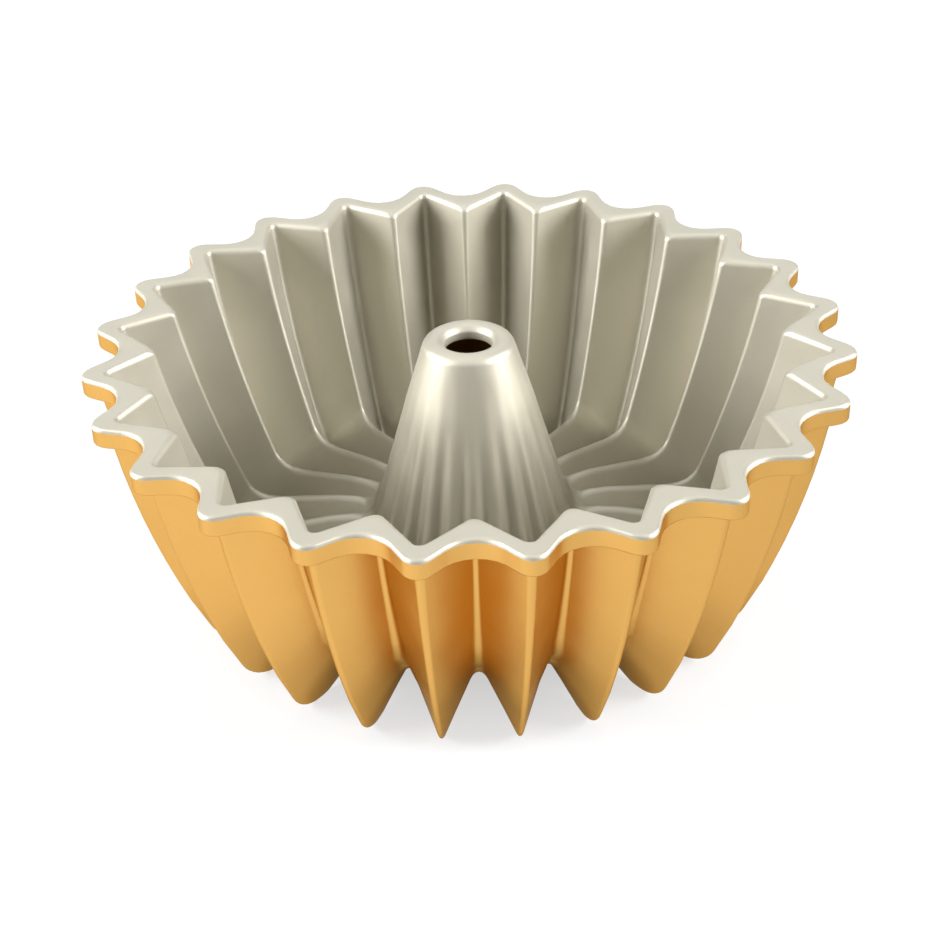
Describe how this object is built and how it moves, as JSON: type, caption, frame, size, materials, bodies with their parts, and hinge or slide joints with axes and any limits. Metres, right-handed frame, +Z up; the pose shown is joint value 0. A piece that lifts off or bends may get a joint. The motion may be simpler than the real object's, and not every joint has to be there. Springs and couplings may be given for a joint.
{
  "type": "fluted tube pan",
  "caption": "Cast aluminium fluted tube pan with deep V-shaped flutes, a scalloped rim and a tapered centre tube, for baking ring cakes; gold coat outside, silver release coat inside.",
  "frame": {"origin": "centre of the pan on the plane that its feet stand on", "axes": "+Z up along the centre tube; a valley of the rim faces -Y"},
  "size_m": [0.2546, 0.2546, 0.0955],
  "materials": {
    "cast_aluminium": "satin",
    "release_coat": "satin",
    "gold_coat": "satin"
  },
  "bodies": {
    "root": {"cast_body": "cast_aluminium", "inner_release_coat": "release_coat", "outer_gold_coat": "gold_coat"}
  },
  "joints": []
}
